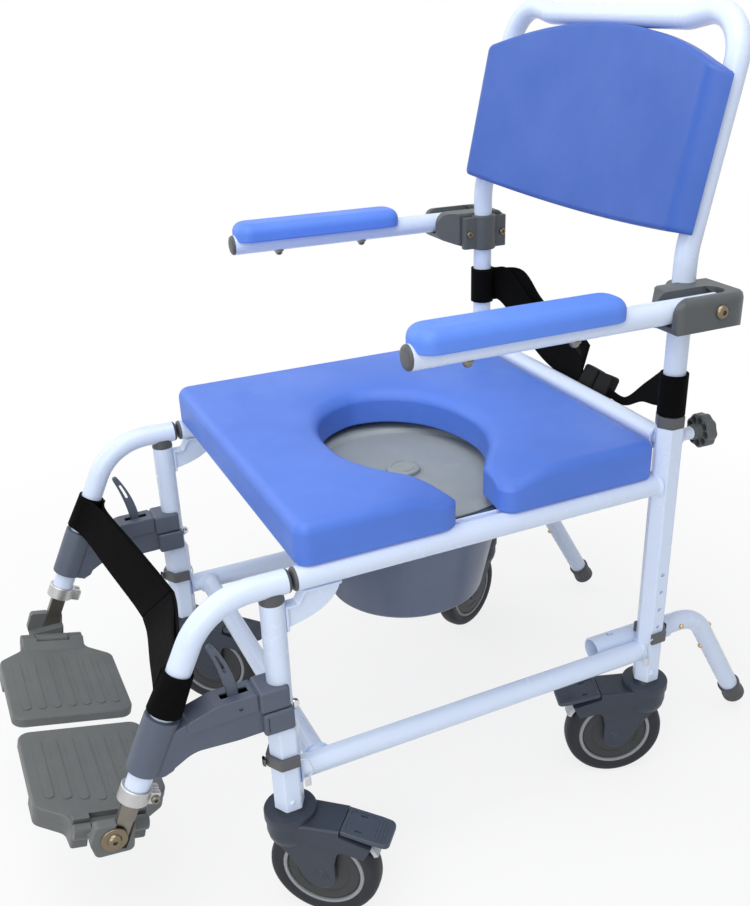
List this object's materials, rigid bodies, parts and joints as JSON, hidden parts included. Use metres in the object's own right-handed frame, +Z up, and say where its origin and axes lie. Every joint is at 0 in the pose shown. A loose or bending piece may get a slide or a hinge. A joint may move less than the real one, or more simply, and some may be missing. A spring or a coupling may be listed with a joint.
{
  "type": "shower commode chair",
  "caption": "Wheeled shower and commode chair with a padded side-opening seat over a pail, padded back, flip-up arms, swing-away footrests, braked casters and anti-tip legs.",
  "frame": {"origin": "middle of the chair's footprint on the floor; the chair's own middle plane lies at x = -0.0121 m, because one caster's brake pedal stands out on the left", "axes": "+Z up, -Y towards the front of the chair, +X towards the sitter's left"},
  "size_m": [0.5882, 0.9432, 0.9382],
  "materials": {
    "white_powder_coat": "glossy white powder coat on tube",
    "blue_polyurethane": "satin blue integral skin polyurethane foam",
    "grey_plastic": "satin mid grey moulded plastic",
    "dark_plastic": "satin dark grey moulded plastic",
    "footplate_plastic": "matt olive grey moulded plastic",
    "pail_plastic": "smooth grey moulded plastic",
    "lid_plastic": "smooth light grey moulded plastic",
    "tyre_rubber": "black rubber tread on a grey wheel",
    "tip_rubber": "matt dark grey rubber",
    "black_webbing": "black woven webbing",
    "aluminium": "satin cast aluminium",
    "chrome": "bright plated steel"
  },
  "bodies": {
    "chair_frame": {"front_leg_left": "white_powder_coat", "front_leg_right": "white_powder_coat", "rear_frame": "white_powder_coat", "lower_frame": "white_powder_coat", "seat_frame": "white_powder_coat"},
    "caster_stem_front_left": {"caster_stem_front_left": "chrome"},
    "caster_fork_front_left": {"caster_fork_front_left": "dark_plastic"},
    "caster_wheel_front_left": {"caster_wheel_front_left": "tyre_rubber"},
    "brake_pedal_front_left": {"brake_pedal_front_left": "dark_plastic"},
    "caster_stem_front_right": {"caster_stem_front_right": "chrome"},
    "caster_fork_front_right": {"caster_fork_front_right": "dark_plastic"},
    "caster_wheel_front_right": {"caster_wheel_front_right": "tyre_rubber"},
    "brake_pedal_front_right": {"brake_pedal_front_right": "dark_plastic"},
    "caster_stem_rear_left": {"caster_stem_rear_left": "chrome"},
    "caster_fork_rear_left": {"caster_fork_rear_left": "dark_plastic"},
    "caster_wheel_rear_left": {"caster_wheel_rear_left": "tyre_rubber"},
    "brake_pedal_rear_left": {"brake_pedal_rear_left": "dark_plastic"},
    "caster_stem_rear_right": {"caster_stem_rear_right": "chrome"},
    "caster_fork_rear_right": {"caster_fork_rear_right": "dark_plastic"},
    "caster_wheel_rear_right": {"caster_wheel_rear_right": "tyre_rubber"},
    "brake_pedal_rear_right": {"brake_pedal_rear_right": "dark_plastic"},
    "height_clip_front_left": {"height_clip_front_left": "grey_plastic"},
    "height_clip_front_right": {"height_clip_front_right": "grey_plastic"},
    "height_clip_rear_left": {"height_clip_rear_left": "grey_plastic"},
    "height_clip_rear_right": {"height_clip_rear_right": "grey_plastic"},
    "hanger_left": {"hanger_tube_left": "white_powder_coat", "hanger_bracket_left": "grey_plastic", "post_clamp_left": "aluminium", "calf_strap_left": "black_webbing"},
    "release_lever_left": {"release_lever_left": "grey_plastic"},
    "footplate_post_left": {"footplate_post_left": "chrome"},
    "footplate_left": {"footplate_left": "footplate_plastic"},
    "hanger_right": {"hanger_tube_right": "white_powder_coat", "hanger_bracket_right": "grey_plastic", "post_clamp_right": "aluminium", "calf_strap_right": "black_webbing"},
    "release_lever_right": {"release_lever_right": "grey_plastic"},
    "footplate_post_right": {"footplate_post_right": "chrome"},
    "footplate_right": {"footplate_right": "footplate_plastic"},
    "seat": {"seat_pad": "blue_polyurethane"},
    "pail": {"pail": "pail_plastic"},
    "pail_lid": {"pail_lid": "lid_plastic"},
    "back": {"back_frame": "white_powder_coat", "back_pad": "blue_polyurethane", "arm_bracket_left": "grey_plastic", "arm_bracket_right": "grey_plastic", "arm_bolt_left": "chrome", "arm_bolt_right": "chrome", "lap_belt_left": "black_webbing", "lap_belt_right": "black_webbing"},
    "arm_left": {"arm_tube_left": "white_powder_coat", "arm_pad_left": "blue_polyurethane"},
    "back_knob_left": {"back_knob_left": "grey_plastic"},
    "anti_tip_left": {"anti_tip_tube_left": "white_powder_coat", "anti_tip_cup_left": "tip_rubber"},
    "arm_right": {"arm_tube_right": "white_powder_coat", "arm_pad_right": "blue_polyurethane"},
    "back_knob_right": {"back_knob_right": "grey_plastic"},
    "anti_tip_right": {"anti_tip_tube_right": "white_powder_coat", "anti_tip_cup_right": "tip_rubber"}
  },
  "joints": [
    {"name": "caster_height_front_left", "type": "slide", "parent": "chair_frame", "child": "caster_stem_front_left", "axis": [0, 0, -1], "range_m": [0, 0.1]},
    {"name": "caster_swivel_front_left", "type": "hinge", "parent": "caster_stem_front_left", "child": "caster_fork_front_left", "pos_m": [0.2029, -0.22033, 0], "axis": [0, 0, 1], "continuous": true},
    {"name": "wheel_spin_front_left", "type": "hinge", "parent": "caster_fork_front_left", "child": "caster_wheel_front_left", "pos_m": [0.22783, -0.19165, 0.0635], "axis": [0.7547, -0.6561, 0], "continuous": true},
    {"name": "brake_press_front_left", "type": "hinge", "parent": "caster_fork_front_left", "child": "brake_pedal_front_left", "pos_m": [0.24563, -0.17118, 0.1305], "axis": [-0.7547, 0.6561, 0], "range_deg": [0, 8]},
    {"name": "caster_height_front_right", "type": "slide", "parent": "chair_frame", "child": "caster_stem_front_right", "axis": [0, 0, -1], "range_m": [0, 0.1]},
    {"name": "caster_swivel_front_right", "type": "hinge", "parent": "caster_stem_front_right", "child": "caster_fork_front_right", "pos_m": [-0.2271, -0.22033, 0], "axis": [0, 0, 1], "continuous": true},
    {"name": "wheel_spin_front_right", "type": "hinge", "parent": "caster_fork_front_right", "child": "caster_wheel_front_right", "pos_m": [-0.20423, -0.18998, 0.0635], "axis": [0.7986, -0.6018, 0], "continuous": true},
    {"name": "brake_press_front_right", "type": "hinge", "parent": "caster_fork_front_right", "child": "brake_pedal_front_right", "pos_m": [-0.1879, -0.16832, 0.1305], "axis": [-0.7986, 0.6018, 0], "range_deg": [0, 8]},
    {"name": "caster_height_rear_left", "type": "slide", "parent": "chair_frame", "child": "caster_stem_rear_left", "axis": [0, 0, -1], "range_m": [0, 0.1]},
    {"name": "caster_swivel_rear_left", "type": "hinge", "parent": "caster_stem_rear_left", "child": "caster_fork_rear_left", "pos_m": [0.2029, 0.26367, 0], "axis": [0, 0, 1], "continuous": true},
    {"name": "wheel_spin_rear_left", "type": "hinge", "parent": "caster_fork_rear_left", "child": "caster_wheel_rear_left", "pos_m": [0.18928, 0.22819, 0.0635], "axis": [-0.9336, 0.3584, 0], "continuous": true},
    {"name": "brake_press_rear_left", "type": "hinge", "parent": "caster_fork_rear_left", "child": "brake_pedal_rear_left", "pos_m": [0.17956, 0.20286, 0.1305], "axis": [0.9336, -0.3584, 0], "range_deg": [0, 8]},
    {"name": "caster_height_rear_right", "type": "slide", "parent": "chair_frame", "child": "caster_stem_rear_right", "axis": [0, 0, -1], "range_m": [0, 0.1]},
    {"name": "caster_swivel_rear_right", "type": "hinge", "parent": "caster_stem_rear_right", "child": "caster_fork_rear_right", "pos_m": [-0.2271, 0.26367, 0], "axis": [0, 0, 1], "continuous": true},
    {"name": "wheel_spin_rear_right", "type": "hinge", "parent": "caster_fork_rear_right", "child": "caster_wheel_rear_right", "pos_m": [-0.20985, 0.22981, 0.0635], "axis": [-0.891, -0.454, 0], "continuous": true},
    {"name": "brake_press_rear_right", "type": "hinge", "parent": "caster_fork_rear_right", "child": "brake_pedal_rear_right", "pos_m": [-0.19753, 0.20564, 0.1305], "axis": [0.891, 0.454, 0], "range_deg": [0, 8]},
    {"name": "clip_pull_front_left", "type": "slide", "parent": "chair_frame", "child": "height_clip_front_left", "axis": [0, -1, 0], "range_m": [0, 0.04]},
    {"name": "clip_pull_front_right", "type": "slide", "parent": "chair_frame", "child": "height_clip_front_right", "axis": [0, -1, 0], "range_m": [0, 0.04]},
    {"name": "clip_pull_rear_left", "type": "slide", "parent": "chair_frame", "child": "height_clip_rear_left", "axis": [0, 1, 0], "range_m": [0, 0.04]},
    {"name": "clip_pull_rear_right", "type": "slide", "parent": "chair_frame", "child": "height_clip_rear_right", "axis": [0, 1, 0], "range_m": [0, 0.04]},
    {"name": "hanger_swing_left", "type": "hinge", "parent": "chair_frame", "child": "hanger_left", "pos_m": [0.2029, -0.22033, 0.42], "axis": [0, 0, 1], "range_deg": [0, 90]},
    {"name": "lever_pull_left", "type": "hinge", "parent": "hanger_left", "child": "release_lever_left", "pos_m": [0.2029, -0.26833, 0.2982], "axis": [-1, 0, 0], "range_deg": [0, 20]},
    {"name": "post_drop_left", "type": "slide", "parent": "hanger_left", "child": "footplate_post_left", "axis": [0, -0.4226, -0.9063], "range_m": [0, 0.05]},
    {"name": "footplate_flip_left", "type": "hinge", "parent": "footplate_post_left", "child": "footplate_left", "pos_m": [0.1779, -0.40255, 0.17077], "axis": [0, 0.9715, -0.2368], "range_deg": [0, 50]},
    {"name": "hanger_swing_right", "type": "hinge", "parent": "chair_frame", "child": "hanger_right", "pos_m": [-0.2271, -0.22033, 0.42], "axis": [0, 0, -1], "range_deg": [0, 90]},
    {"name": "lever_pull_right", "type": "hinge", "parent": "hanger_right", "child": "release_lever_right", "pos_m": [-0.2271, -0.26833, 0.2982], "axis": [-1, 0, 0], "range_deg": [0, 20]},
    {"name": "post_drop_right", "type": "slide", "parent": "hanger_right", "child": "footplate_post_right", "axis": [0, -0.4226, -0.9063], "range_m": [0, 0.05]},
    {"name": "footplate_flip_right", "type": "hinge", "parent": "footplate_post_right", "child": "footplate_right", "pos_m": [-0.2021, -0.40255, 0.17077], "axis": [0, -0.9715, 0.2368], "range_deg": [0, 50]},
    {"name": "seat_lift", "type": "slide", "parent": "chair_frame", "child": "seat", "axis": [0, 0, 1], "range_m": [0, 0.12]},
    {"name": "pail_draw", "type": "slide", "parent": "chair_frame", "child": "pail", "axis": [0, 1, 0], "range_m": [0, 0.4]},
    {"name": "lid_lift", "type": "slide", "parent": "pail", "child": "pail_lid", "axis": [0, 0, 1], "range_m": [0, 0.007]},
    {"name": "back_lift", "type": "slide", "parent": "chair_frame", "child": "back", "axis": [0, 0, 1], "range_m": [0, 0.08]},
    {"name": "arm_flip_left", "type": "hinge", "parent": "back", "child": "arm_left", "pos_m": [0.2459, 0.25767, 0.643], "axis": [-1, 0, 0], "range_deg": [0, 90]},
    {"name": "knob_turn_left", "type": "hinge", "parent": "chair_frame", "child": "back_knob_left", "pos_m": [0.2029, 0.29667, 0.476], "axis": [0, 1, 0], "continuous": true},
    {"name": "anti_tip_draw_left", "type": "slide", "parent": "chair_frame", "child": "anti_tip_left", "axis": [0, 1, 0], "range_m": [0, 0.1]},
    {"name": "arm_flip_right", "type": "hinge", "parent": "back", "child": "arm_right", "pos_m": [-0.2701, 0.25767, 0.643], "axis": [-1, 0, 0], "range_deg": [0, 90]},
    {"name": "knob_turn_right", "type": "hinge", "parent": "chair_frame", "child": "back_knob_right", "pos_m": [-0.2271, 0.29667, 0.476], "axis": [0, 1, 0], "continuous": true},
    {"name": "anti_tip_draw_right", "type": "slide", "parent": "chair_frame", "child": "anti_tip_right", "axis": [0, 1, 0], "range_m": [0, 0.1]}
  ]
}
